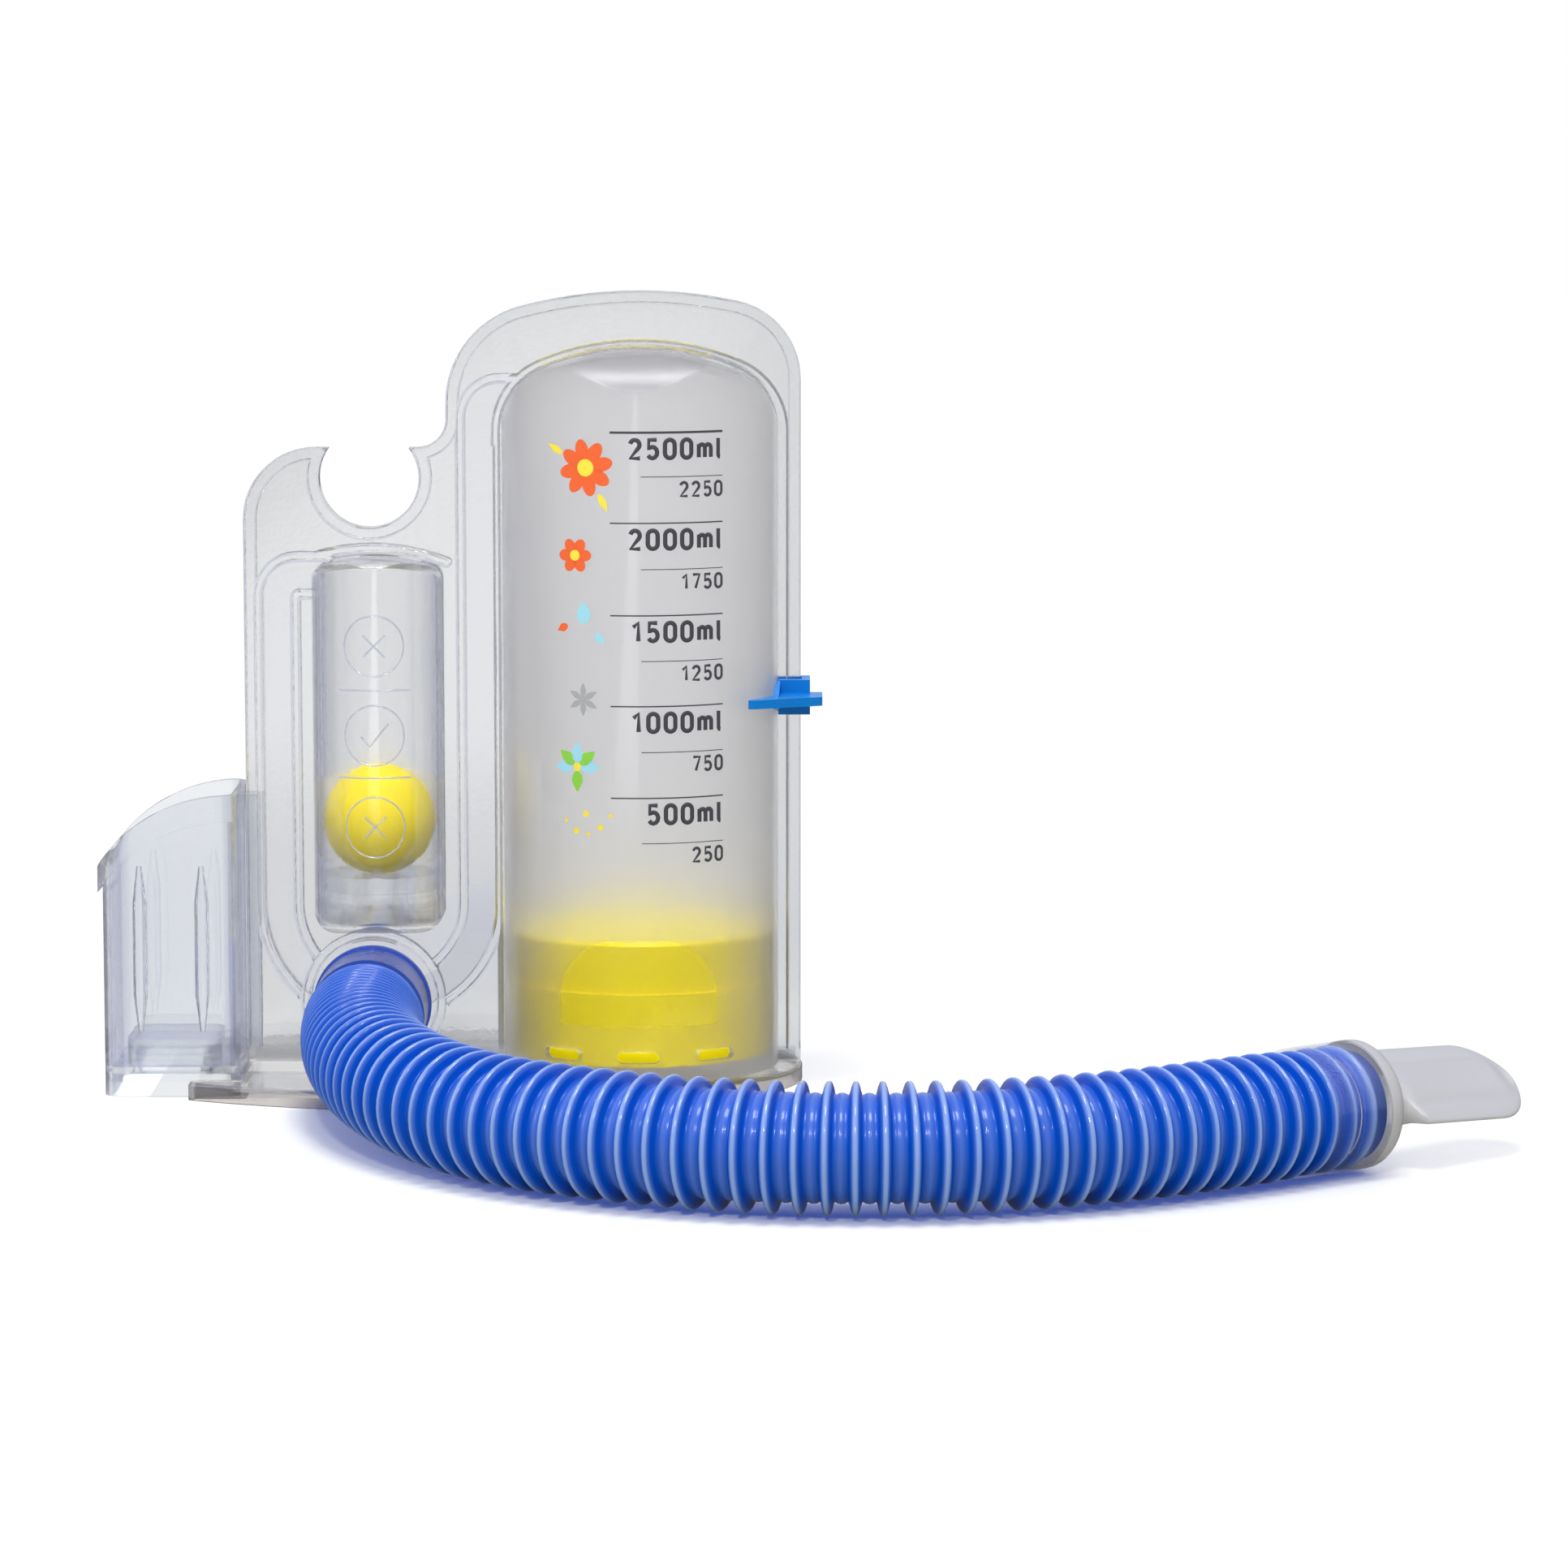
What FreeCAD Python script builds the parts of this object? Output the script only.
# A children's volume incentive spirometer: a clear two-half housing with a volume chamber and a flow tube,
# a rising piston, a flow ball, a sliding goal pointer, a mouthpiece cup, a foot and a breathing hose.
# X runs to the right, Y to the back and Z up. The joint between the two halves lies in the plane Y = 0.
import FreeCAD, Part
import math
import os

V = FreeCAD.Vector

# Walls and fits
WALL = 1.8
PLATE = 2.2
RUNNING = 0.3
PUSH_FIT = 0.1
RIM_WIDTH = 3.0
RIM_HEIGHT = 0.5
BEAD_WIDTH = 2.4
BEAD_HEIGHT = 0.8
RIM_EDGE = 0.4
BEAD_EDGE = 0.6
COVE_WIDTH = 1.5
COVE_RISE = 1.5
COVE_EDGE = 1.4

# Foot
BASE_HEIGHT = 4.4
BASE_WALL = 1.6
BASE_HALF_LENGTH = 84.0
BASE_HALF_DEPTH = 45.0
BASE_END_R = 29.8
BASE_LIP = 11.9
BASE_OVERHANG = 0.4
BASE_ROUND = 1.2
BASE_END_ROUND = 1.5
BASE_INNER_ROUND = 0.5
SOCKET_HEIGHT = 2.9
SOCKET_WALL = 1.5
SEAT_RING_HEIGHT = 3.3
SEAT_RING_WALL = 3.0

# Volume chamber
CHAMBER_R = 33.0
CHAMBER_HEIGHT = 171.1
CHAMBER_ARCH = 60.0
CHAMBER_CORNER = 16.0
CHAMBER_NOSE = 12.0
SLOT_LENGTH = 10.0
SLOT_HEIGHT = 2.7
SLOT_Z = 10.5
SLOT_SPREAD = 34.0

# Flow tube
TUBE_R = 15.8
TUBE_LENGTH = 89.3
TUBE_ARCH = 45.0
TUBE_CORNER = 5.0
TUBE_NOSE = 4.0
NOSE_RELIEF = 0.5
TUBE_GAP = 13.9
INTAKE_RISE = 5.5

# Plate round both
RIGHT_LAND = 5.3
SHOULDER_LAND = 13.1
LEFT_LAND = 16.0
TOP_LAND = 13.9
TOP_ARCH = 111.0
TOP_LEFT_ROUND = 23.6
TOP_RIGHT_ROUND = 19.0
LOBE_RISE = 25.7
LOBE_ROUND = 17.0
SHOULDER_ROUND = 7.0
NOTCH_R = 11.9
NOTCH_DROP = 7.1

# Air channels between the halves
CHANNEL_WIDTH = 6.6
CHANNEL_DEPTH = 0.9
LEFT_CHANNEL = 8.3
RIGHT_CHANNEL = 5.3
CHANNEL_TURN = 23.7
CHANNEL_SIDESTEP = 3.0
CHANNEL_CORNER = 5.0
CHANNEL_INLET = 3.0
TUBE_INLET_DROP = 4.8
CHAMBER_INLET_DROP = 11.4
TUBE_BEAD_REACH = 14.0
TUBE_BEAD_RISE = 1.7

# Port, hose and mouthpiece
SPIGOT_R = 11.0
SPIGOT_WALL = 1.5
SPIGOT_LENGTH = 17.0
PORT_OFFSET = 1.8
RING_R = 17.4
HOSE_OD = 28.6
HOSE_WALL = 1.4
HOSE_LIFT = 0.1
HOSE_CORNER_SHARE = 0.45
CUFF_R = 13.7
CUFF_LENGTH = 19.9
CUFF_BEAD = 0.5
CUFF_BEAD_LENGTH = 1.5
END_CUFF_R = 12.9
END_CUFF_LENGTH = 12.0
SOCKET_R = 14.4
SOCKET_SPARE = 3.0
SHOULDER_LENGTH = 9.0
SHOULDER_BEND = 6.0
NECK_R = 7.4
TONGUE_SUNK = 4.0
TONGUE_LENGTH = 30.0
TONGUE_WIDTH = 24.0
TONGUE_FLARE = 0.8
TONGUE_ROOT = 13.0
TONGUE_TIP = 10.4
TONGUE_EDGE = 4.4
TONGUE_ROUND = 11.8
TONGUE_ROLL = 42.0
MOUTH_WALL = 1.4

# Piston, ball and ball seat
PISTON_GAP = 0.4
PISTON_SKIRT = 17.2
PISTON_CROWN = 12.3
PISTON_STEP = 0.9
PISTON_WALL = 1.2
PISTON_EDGE = 0.9
BALL_GAP = 0.7
SEAT_BORE = 4.5
SEAT_HEIGHT = 11.4
SEAT_WAIST = 1.2
SEAT_THROAT = 4.0
STUD_HEIGHT = 2.8
STUD_WIDTH = 2.2

# Goal pointer
POINTER_Z = 94.0
POINTER_HEIGHT = 8.3
POINTER_WALL = 1.9
POINTER_REACH = 22.5
POINTER_BACK = 8.4
POINTER_THUMB = 2.9
POINTER_CLASP = 5.7
POINTER_SWEEP = 0.62
GUSSET_SHARE = 0.75
BLADE = 2.1
BLADE_ROUND = 1.0
GUSSET = 1.4

# Mouthpiece cup
CUP_WIDTH = 32.2
CUP_FRONT = -26.0
CUP_BACK = 7.0
CUP_WALL = 1.6
CUP_ROUND = 4.5
CUP_LIP = 1.2
CUP_LIP_HEIGHT = 6.2
CUP_LOW = 54.6
CUP_MIDDLE = 66.4
CUP_HIGH = 71.8
CUP_FLOOR = 7.0
PUNT_RISE = 6.0
PUNT_INSET = 5.0
CUP_RIB_R = 1.7
CUP_RIB_LOW = 15.5
CUP_RIB_HIGH = 55.0
CUP_RIB_TAPER = 8.8
CUP_RIB_EDGE = 9.0
CUP_RIB_PITCH = 14.6
CUP_RIB_POINT = 0.35
CUP_GRIP = 3.0
CUP_GRIP_DROP = 2.5

# Places that follow from the sizes above
CHAMBER_TOP = BASE_HEIGHT + CHAMBER_HEIGHT
TUBE_X = -(CHAMBER_R + TUBE_GAP + TUBE_R)
PORT_X = TUBE_X - PORT_OFFSET
PORT_Z = BASE_HEIGHT + HOSE_LIFT + HOSE_OD / 2
TUBE_BOTTOM = PORT_Z + RING_R + 1.0
TUBE_TOP = TUBE_BOTTOM + TUBE_LENGTH
PLATE_RIGHT = CHAMBER_R + RIGHT_LAND
PLATE_LEFT = TUBE_X - TUBE_R - LEFT_LAND
PLATE_TOP = CHAMBER_TOP + TOP_LAND
SHOULDER_X = -(CHAMBER_R + SHOULDER_LAND)
LOBE_TOP = TUBE_TOP + LOBE_RISE
FACE = PLATE + max(RIM_HEIGHT, BEAD_HEIGHT)
BASE_X = PLATE_RIGHT + BASE_OVERHANG - BASE_HALF_LENGTH
SOCKET_TOP = BASE_HEIGHT + SOCKET_HEIGHT
CUP_RIGHT = PLATE_LEFT - PUSH_FIT
CUP_LEFT = CUP_RIGHT - CUP_WIDTH
THUMB_X = PLATE_RIGHT + RUNNING + POINTER_WALL + POINTER_THUMB

# Hose route, each point counted from the mouth of the cuff to the right and to the back, with its height
LYING = max(HOSE_OD / 2, SOCKET_R)
CUFF_BACK = -(PLATE + PUSH_FIT + SOCKET_WALL + RUNNING)
CUFF_MOUTH = V(PORT_X, CUFF_BACK - CUFF_LENGTH, 0)
HOSE_POINTS = [CUFF_MOUTH + V(x, y, z) for x, y, z in (
    (0, 0, PORT_Z),
    (0, -34.0, PORT_Z),
    (9.2, -70.9, (PORT_Z + LYING) / 2),
    (29.3, -103.1, LYING),
    (59.2, -126.5, LYING),
    (92.6, -140.0, LYING),
    (128.6, -141.9, LYING),
    (163.2, -132.0, LYING),
    (194.1, -113.5, LYING),
    (217.7, -95.0, LYING),
)]


def box(x0, x1, y0, y1, z0, z1):
    """A block between two corners."""
    return Part.makeBox(x1 - x0, y1 - y0, z1 - z0, V(x0, y0, z0))


def slab(wire_or_face, y0, y1):
    """An outline drawn in the plane Y = 0, given thickness from y0 to y1."""
    face = wire_or_face if isinstance(wire_or_face, Part.Face) else Part.Face(wire_or_face)
    moved = face.copy()
    moved.translate(V(0, y0, 0))
    return moved.extrude(V(0, y1 - y0, 0))


def arc(a, middle, b):
    """An arc edge through three points."""
    return Part.Arc(a, middle, b).toShape()


def line(a, b):
    """A straight edge."""
    return Part.makeLine(a, b)


def on_circle(centre, radius, degrees):
    """A point on a circle in a plane of constant Y."""
    turn = math.radians(degrees)
    return V(centre.x + radius * math.cos(turn), centre.y, centre.z + radius * math.sin(turn))


def arched_corner(edge, top, arch, corner, middle=0.0):
    """Where a rounded corner leaves an upright edge, its own middle and where it meets the arched top."""
    side = math.copysign(1, edge - middle)
    hub = V(middle, 0, top - arch)
    x = edge - side * corner
    centre = V(x, 0, hub.z + math.sqrt((arch - corner) ** 2 - (x - middle) ** 2))
    meets = hub + (centre - hub) * (arch / (arch - corner))
    start = 0 if side > 0 else 180
    stop = math.degrees(math.atan2(meets.z - centre.z, meets.x - centre.x))
    return V(edge, 0, centre.z), on_circle(centre, corner, (start + stop) / 2), meets


def arched_outline(left, right, bottom, top, arch, round_left, round_right, foot=0.0, middle=0.0):
    """Upright outline with an arched top, rounded top corners and, with a foot, rounded bottom corners."""
    low_left, bend_left, top_left = arched_corner(left, top, arch, round_left, middle)
    low_right, bend_right, top_right = arched_corner(right, top, arch, round_right, middle)
    edges = [
        arc(low_left, bend_left, top_left),
        arc(top_left, V(middle, 0, top), top_right),
        arc(top_right, bend_right, low_right),
        line(low_right, V(right, 0, bottom + foot)),
    ]
    if foot:
        right_hub, left_hub = V(right - foot, 0, bottom + foot), V(left + foot, 0, bottom + foot)
        edges += [
            arc(V(right, 0, right_hub.z), on_circle(right_hub, foot, -45), V(right_hub.x, 0, bottom)),
            line(V(right_hub.x, 0, bottom), V(left_hub.x, 0, bottom)),
            arc(V(left_hub.x, 0, bottom), on_circle(left_hub, foot, -135), V(left, 0, left_hub.z)),
        ]
    else:
        edges.append(line(V(right, 0, bottom), V(left, 0, bottom)))
    return Part.Wire(edges + [line(V(left, 0, bottom + foot), low_left)])


def nosed_block(x0, x1, reach, bottom, top, nose, foot_nose=0.0):
    """A block whose top edges at front and back are rounded, seen from the side."""
    block = box(x0, x1, -reach, reach, bottom, top)
    for z, radius in ((top, nose), (bottom, foot_nose)):
        if radius:
            edges = [e for e in block.Edges if e.BoundBox.XLength > 1 and e.BoundBox.ZLength < 1e-6
                     and abs(e.BoundBox.ZMin - z) < 1e-6]
            block = block.makeFillet(radius, edges)
    return block


def rounded_chamber(outline, axis_x, radius, bottom, top, nose, foot_nose=0.0):
    """A round upright chamber with the given outline seen from the front and rounded noses."""
    reach = radius + NOSE_RELIEF
    block = nosed_block(axis_x - reach, axis_x + reach, reach, bottom, top, nose, foot_nose)
    form = slab(outline, -reach - 1, reach + 1).common(block)
    return form.common(Part.makeCylinder(radius, top - bottom, V(axis_x, 0, bottom)))


def chamber_form(shrink, bottom):
    """The volume chamber, or its inside when shrunk by the wall."""
    radius, top, corner = CHAMBER_R - shrink, CHAMBER_TOP - shrink, CHAMBER_CORNER - shrink
    outline = arched_outline(-radius, radius, bottom, top, CHAMBER_ARCH - shrink, corner, corner)
    return rounded_chamber(outline, 0, radius, bottom, top, CHAMBER_NOSE - shrink)


def tube_form(shrink):
    """The flow tube, or its inside when shrunk by the wall."""
    radius, corner, nose = TUBE_R - shrink, TUBE_CORNER - shrink, TUBE_NOSE - shrink
    bottom, top = TUBE_BOTTOM + shrink, TUBE_TOP - shrink
    outline = arched_outline(TUBE_X - radius, TUBE_X + radius, bottom, top, TUBE_ARCH - shrink,
                             corner, corner, corner, TUBE_X)
    return rounded_chamber(outline, TUBE_X, radius, bottom, top, nose, nose)


def plate_form(inset, y0, y1):
    """The outline of the flat plate, drawn in by the inset, from y0 to y1."""
    tall = arched_outline(SHOULDER_X + inset, PLATE_RIGHT - inset, BASE_HEIGHT, PLATE_TOP - inset,
                          TOP_ARCH - inset, TOP_LEFT_ROUND - inset, TOP_RIGHT_ROUND - inset)
    left, top, turn = PLATE_LEFT + inset, LOBE_TOP - inset, LOBE_ROUND - inset
    hub = V(left + turn, 0, top - turn)
    right = SHOULDER_X + inset
    lobe = Part.Wire([
        line(V(left, 0, BASE_HEIGHT), V(left, 0, hub.z)),
        arc(V(left, 0, hub.z), on_circle(hub, turn, 135), V(hub.x, 0, top)),
        line(V(hub.x, 0, top), V(right, 0, top)),
        line(V(right, 0, top), V(right, 0, BASE_HEIGHT)),
        line(V(right, 0, BASE_HEIGHT), V(left, 0, BASE_HEIGHT)),
    ])
    web_hub = V(SHOULDER_X - SHOULDER_ROUND, 0, LOBE_TOP + SHOULDER_ROUND)
    web = box(web_hub.x, right, y0, y1, top, web_hub.z)
    web = web.cut(cross_cylinder(web_hub, SHOULDER_ROUND + inset, y0, y1))
    notch = cross_cylinder(V(PORT_X, 0, LOBE_TOP - NOTCH_DROP), NOTCH_R + inset, y0, y1)
    return slab(tall, y0, y1).fuse([slab(lobe, y0, y1), web]).cut(notch)


def cross_cylinder(centre, radius, y0, y1):
    """A cylinder that runs from front to back."""
    return Part.makeCylinder(radius, y1 - y0, V(centre.x, y0, centre.z), V(0, 1, 0))


def channel_path(x, inlet_x, inlet_z):
    """Middle line of an air channel: left out of a chamber, down beside it and round into the port."""
    hub = V(PORT_X + CHANNEL_SIDESTEP, 0, PORT_Z + CHANNEL_TURN)
    side = 1 if x > hub.x else -1
    radius = abs(x - hub.x)
    corner = V(x + CHANNEL_CORNER, 0, inlet_z - CHANNEL_CORNER)
    return Part.Wire([
        line(V(inlet_x, 0, inlet_z), V(corner.x, 0, inlet_z)),
        arc(V(corner.x, 0, inlet_z), on_circle(corner, CHANNEL_CORNER, 135), V(x, 0, corner.z)),
        line(V(x, 0, corner.z), V(x, 0, hub.z)),
        arc(V(x, 0, hub.z), on_circle(hub, radius, -90 + side * 45), V(hub.x, 0, hub.z - radius)),
    ])


def channels():
    """The middle lines of the two air channels."""
    tube_left, chamber_left = TUBE_X - TUBE_R, -CHAMBER_R
    return [
        channel_path(tube_left - LEFT_CHANNEL, tube_left + CHANNEL_INLET, TUBE_TOP - TUBE_INLET_DROP),
        channel_path(chamber_left - RIGHT_CHANNEL, chamber_left + CHANNEL_INLET,
                     CHAMBER_TOP - CHAMBER_INLET_DROP),
    ]


def stroke(path, width, y0, y1):
    """A band of the given width along a line drawn in the plane Y = 0."""
    return slab(Part.Face(path.makeOffset2D(width / 2)), y0, y1)


def eased(solid, y, amount):
    """The same solid with its edges broken where they lie in the plane Y = y."""
    edges = [e for e in solid.Edges if e.BoundBox.YLength < 1e-6 and abs(e.BoundBox.YMin - y) < 1e-6]
    return solid.makeChamfer(amount, edges)


def bead_band(path, y0, y1, top):
    """The pair of beads on the two sides of an air channel."""
    outer, inner = stroke(path, CHANNEL_WIDTH + 2 * BEAD_WIDTH, y0, y1), stroke(path, CHANNEL_WIDTH, y0, y1)
    return eased(outer.cut(inner), top, BEAD_EDGE)


def chamber_outline(grow):
    """The volume chamber's outline on the plate, grown all round."""
    return arched_outline(-CHAMBER_R - grow, CHAMBER_R + grow, BASE_HEIGHT, CHAMBER_TOP + grow,
                          CHAMBER_ARCH + grow, CHAMBER_CORNER + grow, CHAMBER_CORNER + grow)


def weld_beads(side):
    """Raised beads beside the air channels, round the port and over the two chambers."""
    top = side * (PLATE + BEAD_HEIGHT)
    y0, y1 = sorted((0.0, top))
    inner = [stroke(path, CHANNEL_WIDTH, y0, y1) for path in channels()]
    first, second = [bead_band(path, y0, y1, top).cut(other)
                     for path, other in zip(channels(), reversed(inner))]
    port = V(PORT_X, 0, PORT_Z)
    disc = cross_cylinder(port, RING_R, y0, y1)
    ring = eased(disc.cut(cross_cylinder(port, RING_R - BEAD_WIDTH, y0, y1)), top, BEAD_EDGE)
    over_tube = Part.Wire([arc(
        V(TUBE_X - TUBE_BEAD_REACH, 0, TUBE_TOP), V(TUBE_X, 0, TUBE_TOP + TUBE_BEAD_RISE),
        V(SHOULDER_X, 0, TUBE_TOP - TUBE_BEAD_RISE))])
    tube_bead = eased(stroke(over_tube, BEAD_WIDTH, y0, y1), top, BEAD_EDGE)
    over_chamber = eased(slab(chamber_outline(BEAD_WIDTH), y0, y1), top, BEAD_EDGE)
    low_left = box(SHOULDER_X, 0, y0, y1, 0, CHAMBER_TOP - 2 * CHAMBER_INLET_DROP)
    return first.fuse(second).cut(disc).fuse([ring, tube_bead, over_chamber.cut(low_left)])


def cove(side):
    """The sloped foot of the volume chamber's wall on the plate, clear of the sliding pointer."""
    top = side * (PLATE + COVE_RISE)
    y0, y1 = sorted((0.0, top))
    skirt = eased(slab(chamber_outline(COVE_WIDTH), y0, y1), top, COVE_EDGE)
    track = box(CHAMBER_R - CHAMBER_CORNER, PLATE_RIGHT, y0, y1, 0, CHAMBER_TOP - COVE_RISE)
    return skirt.cut(track)


def air_slot(z, degrees, radius, centre_x):
    """One oblong hole through a round wall, at an angle from straight front."""
    half, end = SLOT_LENGTH / 2 - SLOT_HEIGHT / 2, SLOT_HEIGHT / 2
    y0, y1 = -radius - 1, -radius + WALL + 2
    slot = box(-half, half, y0, y1, z - end, z + end)
    slot = slot.fuse([cross_cylinder(V(side * half, 0, z), end, y0, y1) for side in (-1, 1)])
    slot.rotate(V(0, 0, 0), V(0, 0, 1), degrees)
    slot.translate(V(centre_x, 0, 0))
    return slot


def shell_half(side):
    """One half of the housing: side is -1 for the front and 1 for the rear."""
    y0, y1 = sorted((0.0, side * PLATE))
    rim0, rim1 = sorted((0.0, side * (PLATE + RIM_HEIGHT)))
    reach = CHAMBER_R + SPIGOT_LENGTH
    front, back = sorted((0.0, side * reach))
    space = box(PLATE_LEFT - 1, PLATE_RIGHT + 1, front, back, 0, PLATE_TOP + 1)
    solid = plate_form(0, y0, y1)
    rim = plate_form(0, rim0, rim1).cut(plate_form(RIM_WIDTH, rim0 - 1, rim1 + 1))
    rim = eased(rim.removeSplitter(), side * (PLATE + RIM_HEIGHT), RIM_EDGE)
    above_foot = box(PLATE_LEFT, PLATE_RIGHT, front, back, SOCKET_TOP + RUNNING, PLATE_TOP)
    raised = rim.fuse([weld_beads(side), cove(side)]).common(above_foot)
    solid = solid.fuse([raised, chamber_form(0, BASE_HEIGHT).common(space), tube_form(0).common(space)])
    groove0, groove1 = sorted((-side, side * CHANNEL_DEPTH))
    cuts = [stroke(path, CHANNEL_WIDTH, groove0, groove1) for path in channels()]
    cuts += [chamber_form(WALL, BASE_HEIGHT - 1), tube_form(WALL)]
    if side < 0:
        solid = solid.fuse(cross_cylinder(V(PORT_X, 0, PORT_Z), SPIGOT_R, -PLATE - SPIGOT_LENGTH, 0))
        cuts.append(cross_cylinder(V(PORT_X, 0, PORT_Z), SPIGOT_R - SPIGOT_WALL,
                                   -PLATE - SPIGOT_LENGTH - 1, 1))
        cuts += [air_slot(SLOT_Z, angle, CHAMBER_R, 0) for angle in (-SLOT_SPREAD, 0, SLOT_SPREAD)]
    else:
        cuts.append(air_slot(TUBE_BOTTOM + INTAKE_RISE, 180, TUBE_R, TUBE_X))
    for hollow in cuts:
        solid = solid.cut(hollow)
    return solid.common(space).removeSplitter()


def oval(inset):
    """The oval of the foot as an outline of four arcs, drawn in all round."""
    half, depth, end = BASE_HALF_LENGTH - inset, BASE_HALF_DEPTH - inset, BASE_END_R - inset
    side = (half ** 2 + depth ** 2 - 2 * half * end) / (2 * (depth - end))
    lean = math.atan2(side - depth, half - end)
    x, y = half - end + end * math.cos(lean), end * math.sin(lean)
    spots = [V(x, y, 0), V(0, depth, 0), V(-x, y, 0), V(-half, 0, 0), V(-x, -y, 0), V(0, -depth, 0),
             V(x, -y, 0), V(half, 0, 0), V(x, y, 0)]
    wire = Part.Wire([arc(*spots[first:first + 3]) for first in (0, 2, 4, 6)])
    wire.translate(V(BASE_X, 0, 0))
    return Part.Face(wire)


def foot_plan(inset, z0, z1, corner):
    """The plan of the foot as a solid, drawn in all round, with a bay where the cup stands."""
    left, depth = PLATE_LEFT - BASE_LIP + inset, BASE_HALF_DEPTH + 1
    bay_right, far_right = CUP_RIGHT + RUNNING + inset, BASE_X + BASE_HALF_LENGTH + 1
    bay_front, bay_back = CUP_FRONT - RUNNING - inset, CUP_BACK + RUNNING + inset
    trim = Part.makePlane(far_right - left, 2 * depth, V(left, -depth, 0))
    bay = Part.makePlane(bay_right - left + 1, bay_back - bay_front, V(left - 1, bay_front, 0))
    plan = oval(inset).common(trim).cut(bay)
    rounded = plan.Faces[0].makeOffset2D(-corner).makeOffset2D(corner)
    solid = rounded.Faces[0].extrude(V(0, 0, z1 - z0))
    solid.translate(V(0, 0, z0))
    return solid


def base():
    """Shallow foot: a deck with a skirt, a socket for the plates and a ring that closes the chamber."""
    foot = foot_plan(0, 0, BASE_HEIGHT, BASE_END_ROUND)
    top_edges = [e for e in foot.Edges if abs(e.BoundBox.ZMin - BASE_HEIGHT) < 1e-6]
    foot = foot.makeFillet(BASE_ROUND, top_edges)
    foot = foot.cut(foot_plan(BASE_WALL, -1, BASE_HEIGHT - BASE_WALL, BASE_INNER_ROUND))
    inner = PLATE + PUSH_FIT
    outer = inner + SOCKET_WALL
    left, right = CUP_RIGHT + RUNNING + BASE_ROUND, PLATE_RIGHT - BASE_ROUND
    socket = box(left, right, -outer, outer, BASE_HEIGHT - BASE_WALL, SOCKET_TOP)
    socket = socket.cut(box(left - 1, right + 1, -inner, inner, BASE_HEIGHT, SOCKET_TOP))
    socket = socket.cut(Part.makeCylinder(CHAMBER_R + RUNNING, SOCKET_HEIGHT + 1, V(0, 0, BASE_HEIGHT)))
    ring_r = CHAMBER_R - WALL - PUSH_FIT
    ring = Part.makeCylinder(ring_r, SEAT_RING_HEIGHT, V(0, 0, BASE_HEIGHT))
    ring = ring.cut(Part.makeCylinder(ring_r - SEAT_RING_WALL, SEAT_RING_HEIGHT, V(0, 0, BASE_HEIGHT)))
    return foot.fuse([socket, ring]).removeSplitter()


def piston():
    """Stepped cup: a smooth skirt below and a slightly narrower crown, open at the bottom."""
    radius = CHAMBER_R - WALL - PISTON_GAP
    low = BASE_HEIGHT + SEAT_RING_HEIGHT + RUNNING
    step, high = low + PISTON_SKIRT, low + PISTON_SKIRT + PISTON_CROWN
    crown = radius - PISTON_STEP
    solid = Part.makeCylinder(radius, step - low, V(0, 0, low))
    solid = solid.fuse(Part.makeCylinder(crown, high - low, V(0, 0, low)))
    top = [e for e in solid.Edges if abs(e.BoundBox.ZMin - high) < 1e-6 and e.BoundBox.ZLength < 1e-6]
    solid = solid.makeChamfer(PISTON_EDGE, top)
    hollow = Part.makeCylinder(radius - PISTON_WALL, step - low - PISTON_WALL, V(0, 0, low))
    hollow = hollow.fuse(Part.makeCylinder(crown - PISTON_WALL, high - low - PISTON_WALL, V(0, 0, low)))
    return solid.cut(hollow)


def ball_radius():
    """The ball runs free in the flow tube."""
    return TUBE_R - WALL - BALL_GAP


def seat_top():
    """Height of the face that the ball sits over."""
    return TUBE_BOTTOM + WALL + SEAT_HEIGHT


def flow_ball():
    """Light hollow ball, drawn solid, on the edge of the bore of its seat."""
    drop = math.sqrt(ball_radius() ** 2 - SEAT_BORE ** 2)
    return Part.makeSphere(ball_radius(), V(TUBE_X, 0, seat_top() + RUNNING + drop))


def ball_seat():
    """Clear bobbin in the foot of the flow tube, with a metering bore and four studs round the ball."""
    radius = TUBE_R - WALL - PUSH_FIT
    low, high = TUBE_BOTTOM + WALL + PUSH_FIT, seat_top()
    flange = (high - low) / 3
    body = Part.makeCylinder(radius, high - low, V(TUBE_X, 0, low))
    body = body.common(tube_form(WALL + PUSH_FIT))
    waist = Part.makeCylinder(radius + 1, flange, V(TUBE_X, 0, low + flange))
    waist = waist.cut(Part.makeCylinder(radius - SEAT_WAIST, flange, V(TUBE_X, 0, low + flange)))
    body = body.cut(waist)
    studs = []
    for quarter in range(4):
        stud = box(radius - STUD_WIDTH, radius - PUSH_FIT, -STUD_WIDTH / 2, STUD_WIDTH / 2,
                   high - SEAT_WAIST, high + STUD_HEIGHT)
        stud.rotate(V(0, 0, 0), V(0, 0, 1), 90 * quarter)
        stud.translate(V(TUBE_X, 0, 0))
        studs.append(stud)
    bore = Part.makeCylinder(SEAT_BORE, high - low + 2, V(TUBE_X, 0, low - 1))
    throat = Part.makeCone(SEAT_BORE + SEAT_THROAT, SEAT_BORE, SEAT_THROAT, V(TUBE_X, 0, low))
    return body.fuse(studs).cut([bore, throat]).removeSplitter()


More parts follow.
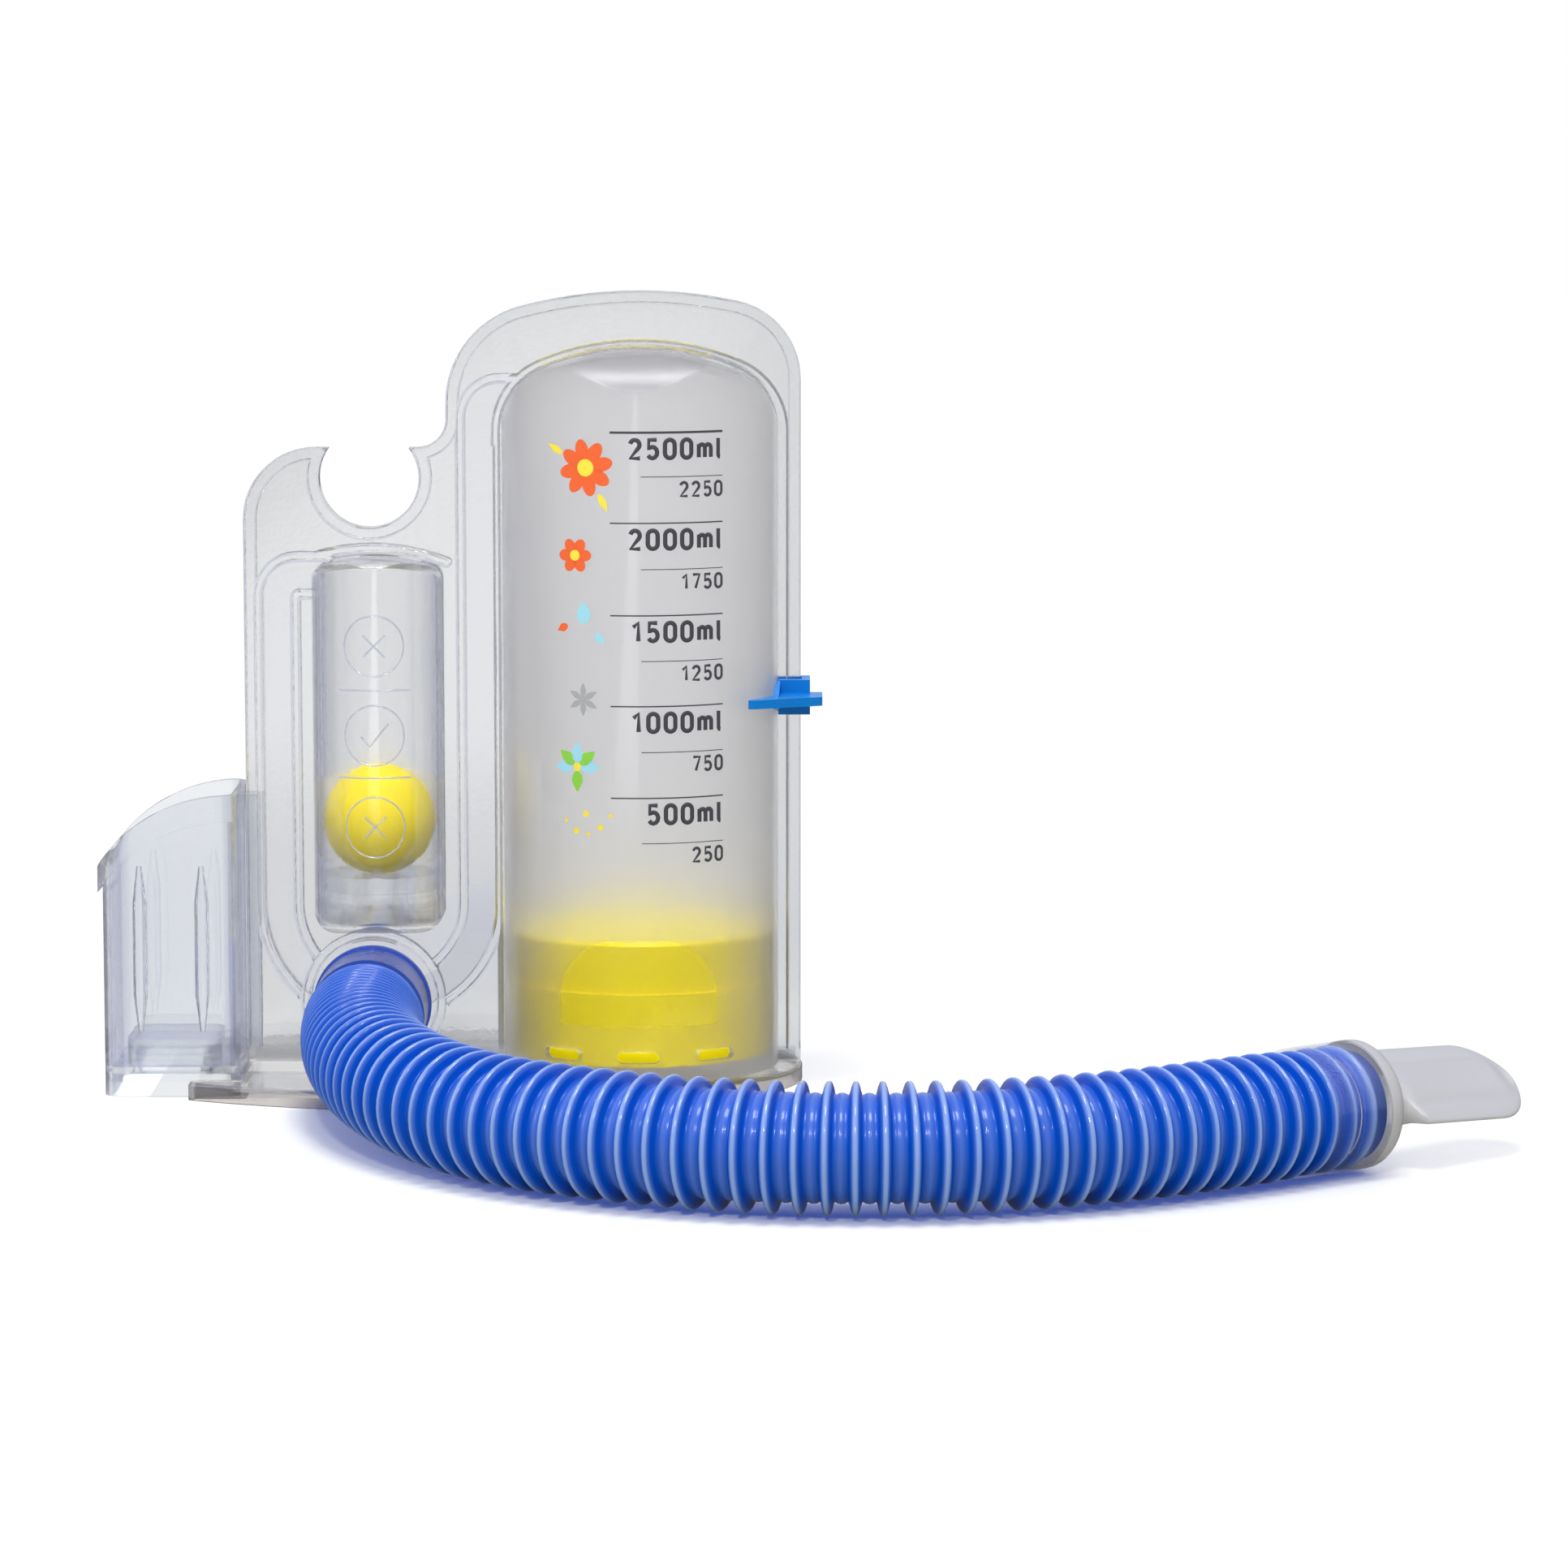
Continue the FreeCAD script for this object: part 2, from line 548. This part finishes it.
def goal_pointer():
    """Slider that hooks round the right edge, with a blade that points along the chamber wall."""
    inner = FACE + RUNNING
    outer = inner + POINTER_WALL
    middle = POINTER_Z - BLADE / 2
    low, high = middle - POINTER_HEIGHT / 2, middle + POINTER_HEIGHT / 2
    left, right = THUMB_X - POINTER_THUMB - POINTER_BACK, PLATE_RIGHT + RUNNING
    clip = box(left, right + POINTER_WALL, -outer, outer, low, high)
    clip = clip.cut(box(left - 1, right, -inner, inner, low - 1, high + 1))
    tip = THUMB_X - POINTER_CLASP - 2 * POINTER_BACK + POINTER_THUMB + BLADE
    corners = [(tip, -POINTER_REACH), (THUMB_X, -POINTER_REACH * POINTER_SWEEP), (THUMB_X, -inner),
               (tip, -inner)]
    points = [V(x, y, POINTER_Z - BLADE) for x, y in corners]
    blade = Part.Face(Part.makePolygon(points + points[:1])).extrude(V(0, 0, BLADE))
    upright = [e for e in blade.Edges if e.BoundBox.ZLength > BLADE / 2 and e.BoundBox.YMax < -inner - 1]
    blade = blade.makeFillet(BLADE_ROUND, upright)
    web = [V(left, -outer, low + 1), V(tip + POINTER_CLASP, -POINTER_REACH * GUSSET_SHARE, POINTER_Z - BLADE),
           V(tip + POINTER_CLASP, -POINTER_REACH * GUSSET_SHARE, POINTER_Z), V(left, -outer, high)]
    gusset = Part.Face(Part.makePolygon(web + web[:1])).extrude(V(GUSSET, GUSSET / 2, 0))
    chamber = Part.makeCylinder(CHAMBER_R + RUNNING, POINTER_HEIGHT + 2, V(0, 0, low - 1))
    return clip.fuse([blade, gusset]).cut(chamber).removeSplitter()


def cup_plan(grow, z0, z1):
    """The rounded rectangular plan of the mouthpiece cup as a solid."""
    block = box(CUP_LEFT - grow, CUP_RIGHT + min(grow, 0), CUP_FRONT - grow, CUP_BACK + grow, z0, z1)
    edges = [e for e in block.Edges if e.BoundBox.ZLength > (z1 - z0) / 2]
    return block.makeFillet(CUP_ROUND + grow, edges)


def below_lip(drop):
    """Everything below the curved top edge of the cup, lowered by the drop."""
    start, end = V(CUP_LEFT - CUP_LIP, 0, CUP_LOW - drop), V(CUP_RIGHT, 0, CUP_HIGH - drop)
    middle = V(CUP_LEFT + CUP_WIDTH / 3, 0, CUP_MIDDLE - drop)
    far_left, far_right, under = start.x - 1, CUP_RIGHT + CUP_GRIP + 1, -2.0
    outline = [end, V(far_right, 0, end.z), V(far_right, 0, under), V(far_left, 0, under),
               V(far_left, 0, start.z), start]
    wire = Part.Wire([arc(start, middle, end)] + [line(a, b) for a, b in zip(outline, outline[1:])])
    return slab(wire, CUP_FRONT - CUP_LIP - 1, CUP_BACK + CUP_LIP + 1)


def cup_rib(x, y):
    """A spindle-shaped rib on the inside of the cup's front or back wall."""
    low, high = CUP_RIB_LOW + CUP_RIB_TAPER, CUP_RIB_HIGH - CUP_RIB_TAPER
    belly = Part.makeCylinder(CUP_RIB_R, high - low, V(x, y, low))
    foot = Part.makeCone(CUP_RIB_R * CUP_RIB_POINT, CUP_RIB_R, CUP_RIB_TAPER, V(x, y, CUP_RIB_LOW))
    head = Part.makeCone(CUP_RIB_R, CUP_RIB_R * CUP_RIB_POINT, CUP_RIB_TAPER, V(x, y, high))
    return belly.fuse([foot, head])


def mouthpiece_holder():
    """Clear cup that hooks on the left edge of the plates and stands on the table."""
    top = CUP_HIGH + 1
    outer = cup_plan(0, 0, top)
    lip = cup_plan(CUP_LIP, 0, top).cut(below_lip(CUP_LIP_HEIGHT))
    solid = outer.fuse(lip).common(below_lip(0))
    solid = solid.cut(cup_plan(-CUP_WALL, CUP_FLOOR, top + 1))
    solid = solid.cut(cup_plan(-CUP_WALL, -1, CUP_FLOOR - CUP_WALL))
    solid = solid.fuse(punt(0, CUP_FLOOR - CUP_WALL, CUP_FLOOR + PUNT_RISE))
    solid = solid.cut(punt(CUP_WALL, CUP_FLOOR - CUP_WALL - 1, CUP_FLOOR + PUNT_RISE - CUP_WALL))
    ribs = []
    for x in (CUP_LEFT + CUP_RIB_EDGE, CUP_LEFT + CUP_RIB_EDGE + CUP_RIB_PITCH):
        for y in (CUP_FRONT + CUP_WALL, CUP_BACK - CUP_WALL):
            ribs.append(cup_rib(x, y).common(cup_plan(-CUP_WALL / 2, 0, top)))
    grip_out = FACE + PUSH_FIT + CUP_WALL
    grip = box(CUP_RIGHT - CUP_WALL, CUP_RIGHT + CUP_GRIP, -grip_out, grip_out, SOCKET_TOP + RUNNING,
               CUP_HIGH - CUP_GRIP_DROP)
    edge = box(CUP_RIGHT, CUP_RIGHT + CUP_GRIP + 1, -FACE - PUSH_FIT, FACE + PUSH_FIT, 0, top)
    return solid.fuse(ribs + [grip]).cut(edge).removeSplitter()


def punt(shrink, z0, z1):
    """The raised middle of the cup's floor."""
    inset = PUNT_INSET + shrink
    block = box(CUP_LEFT + inset, CUP_RIGHT - inset, CUP_FRONT + inset, CUP_BACK - inset, z0, z1)
    edges = [e for e in block.Edges if e.BoundBox.ZLength > (z1 - z0) / 2]
    return block.makeFillet(CUP_ROUND - shrink, edges)


def hose_cuff():
    """Smooth cuff of the hose, pushed over the spigot of the front half."""
    port, front = V(PORT_X, 0, PORT_Z), CUFF_MOUTH.y
    cuff = cross_cylinder(port, CUFF_R, front, CUFF_BACK)
    bead = cross_cylinder(port, CUFF_R + CUFF_BEAD, CUFF_BACK - CUFF_BEAD_LENGTH, CUFF_BACK)
    bore = cross_cylinder(port, SPIGOT_R + PUSH_FIT / 2, front - 1, CUFF_BACK + 1)
    return cuff.fuse(bead).cut(bore).removeSplitter()


def hose_path(points):
    """Straight runs joined by tangent arcs, each as large as its two runs allow."""
    edges, here, radii = [], points[0], []
    for before, point, after in zip(points, points[1:], points[2:]):
        back, on = before - point, after - point
        short = min(back.Length, on.Length) * HOSE_CORNER_SHARE
        back.normalize()
        on.normalize()
        half = (math.pi - back.getAngle(on)) / 2
        radii.append(short / math.tan(half))
        start, end = point + back * short, point + on * short
        bisector = back + on
        bisector.normalize()
        middle = point + bisector * (radii[-1] / math.cos(half) - radii[-1])
        edges += [line(here, start), arc(start, middle, end)]
        here = end
    edges.append(line(here, points[-1]))
    print("hose radii", [round(radius) for radius in radii], "over", 3 * HOSE_OD)
    return Part.Wire(edges)


def hose():
    """Plain tube along the route of the corrugated hose."""
    path = hose_path(HOSE_POINTS)
    along = HOSE_POINTS[1] - HOSE_POINTS[0]
    rings = []
    for radius in (HOSE_OD / 2, HOSE_OD / 2 - HOSE_WALL):
        circle = Part.makeCircle(radius, HOSE_POINTS[0], along)
        rings.append(path.makePipeShell([Part.Wire([circle])], True, False))
    tube = rings[0].cut(rings[1])
    print("hose length", round(path.Length, 1), "volume share",
          round(tube.Volume / (path.Length * math.pi * ((HOSE_OD / 2) ** 2
                                                        - (HOSE_OD / 2 - HOSE_WALL) ** 2)), 4))
    return tube


def placed(solid):
    """Turns a solid made along +X at the origin to the far end of the hose."""
    start, end = HOSE_POINTS[-2], HOSE_POINTS[-1]
    heading = math.degrees(math.atan2(end.y - start.y, end.x - start.x))
    solid.rotate(V(0, 0, 0), V(0, 0, 1), heading)
    solid.translate(end)
    return solid


def x_cylinder(radius, x0, x1):
    """A cylinder along X."""
    return Part.makeCylinder(radius, x1 - x0, V(x0, 0, 0), V(1, 0, 0))


def hose_end_cuff():
    """Smooth cuff at the far end of the hose, inside the mouthpiece."""
    cuff = x_cylinder(END_CUFF_R, 0, END_CUFF_LENGTH)
    return placed(cuff.cut(x_cylinder(END_CUFF_R - HOSE_WALL, -1, END_CUFF_LENGTH + 1)))


def tapered(x0, x1, half0, half1, side):
    """Half the outline of a bar whose half width runs from half0 to half1, as four corner points."""
    return [side(x0, -half0), side(x1, -half1), side(x1, half1), side(x0, half0), side(x0, -half0)]


def tongue(shrink, x0, x1):
    """The flat tapered tongue of the mouthpiece, or its bore when shrunk by the wall."""
    half, up = TONGUE_WIDTH / 2 - shrink, SOCKET_R + 1
    seen_above = tapered(x0, x1, half - TONGUE_FLARE, half, lambda x, y: V(x, y, -up))
    seen_aside = tapered(x0, x1, TONGUE_ROOT / 2 - shrink, TONGUE_TIP / 2 - shrink,
                         lambda x, z: V(x, -half - 1, z))
    block = Part.Face(Part.makePolygon(seen_above)).extrude(V(0, 0, 2 * up))
    block = block.common(Part.Face(Part.makePolygon(seen_aside)).extrude(V(0, 2 * half + 2, 0)))
    long_edges = [e for e in block.Edges if e.BoundBox.XLength > (x1 - x0) / 2]
    return block.makeFillet(TONGUE_EDGE - shrink, long_edges)


def bell(shrink, x0, x1):
    """The round socket and its shoulder, or their inside when shrunk by the wall."""
    big, small, bend = SOCKET_R - shrink, NECK_R - shrink, SHOULDER_BEND - shrink
    turn = math.atan2(big - small, SHOULDER_LENGTH)
    reach = bend * math.tan(turn / 2)
    corner = x1 - SHOULDER_LENGTH
    start = V(corner - reach, 0, big)
    middle = V(start.x + bend * math.sin(turn / 2), 0, big - bend + bend * math.cos(turn / 2))
    stop = V(corner + reach * math.cos(turn), 0, big - reach * math.sin(turn))
    profile = Part.Wire([
        line(V(x0, 0, 0), V(x0, 0, big)),
        line(V(x0, 0, big), start),
        arc(start, middle, stop),
        line(stop, V(x1, 0, small)),
        line(V(x1, 0, small), V(x1, 0, 0)),
        line(V(x1, 0, 0), V(x0, 0, 0)),
    ])
    return Part.Face(profile).revolve(V(0, 0, 0), V(1, 0, 0), 360)


def tip_outline(x0, x1):
    """The rounded end of the tongue, seen from above, as a block."""
    side = TONGUE_WIDTH / 2
    plan = box(x0, x1, -side, side, -SOCKET_R, SOCKET_R)
    upright = [e for e in plan.Edges if e.BoundBox.ZLength > SOCKET_R and e.BoundBox.XMin > x1 - 1]
    return plan.makeFillet(TONGUE_ROUND, upright)


def mouthpiece():
    """Milky mouthpiece: a round socket over the hose's end cuff, a shoulder and a flat tongue."""
    shoulder = END_CUFF_LENGTH + SOCKET_SPARE + SHOULDER_LENGTH
    root, end = shoulder - TONGUE_SUNK, shoulder + TONGUE_LENGTH
    body = tongue(0, root, end).common(tip_outline(root, end))
    bore = tongue(MOUTH_WALL, root - 1, end + 1)
    for flat in (body, bore):
        flat.rotate(V(0, 0, 0), V(1, 0, 0), TONGUE_ROLL)
    solid = bell(0, 0.0, shoulder).fuse(body)
    inside = bell(MOUTH_WALL, END_CUFF_LENGTH + PUSH_FIT, shoulder - MOUTH_WALL / 2)
    socket = x_cylinder(END_CUFF_R + PUSH_FIT / 2, -1, END_CUFF_LENGTH + PUSH_FIT)
    return placed(solid.cut([inside, socket, bore]).removeSplitter())


PIECES = {
    "front_shell": lambda: shell_half(-1),
    "rear_shell": lambda: shell_half(1),
    "base": base,
    "mouthpiece_holder": mouthpiece_holder,
    "ball_seat": ball_seat,
    "flow_ball": flow_ball,
    "piston": piston,
    "goal_pointer": goal_pointer,
    "hose_cuff": hose_cuff,
    "hose": hose,
    "hose_end_cuff": hose_end_cuff,
    "mouthpiece": mouthpiece,
}

# The part's own origin is on the table, under the middle of everything but the hose
MIDDLE_X = (CUP_LEFT - CUP_LIP + THUMB_X) / 2
os.makedirs("parts", exist_ok=True)
for name, make in PIECES.items():
    shape = make()
    shape.translate(V(-MIDDLE_X, 0, 0))
    shape.exportStep("parts/" + name + ".step")
    extent = shape.BoundBox
    print(name, shape.ShapeType, len(shape.Solids), "valid", shape.isValid(), "volume", round(shape.Volume),
          [round(value, 1) for value in (extent.XMin, extent.YMin, extent.ZMin, extent.XMax, extent.YMax,
                                         extent.ZMax)])
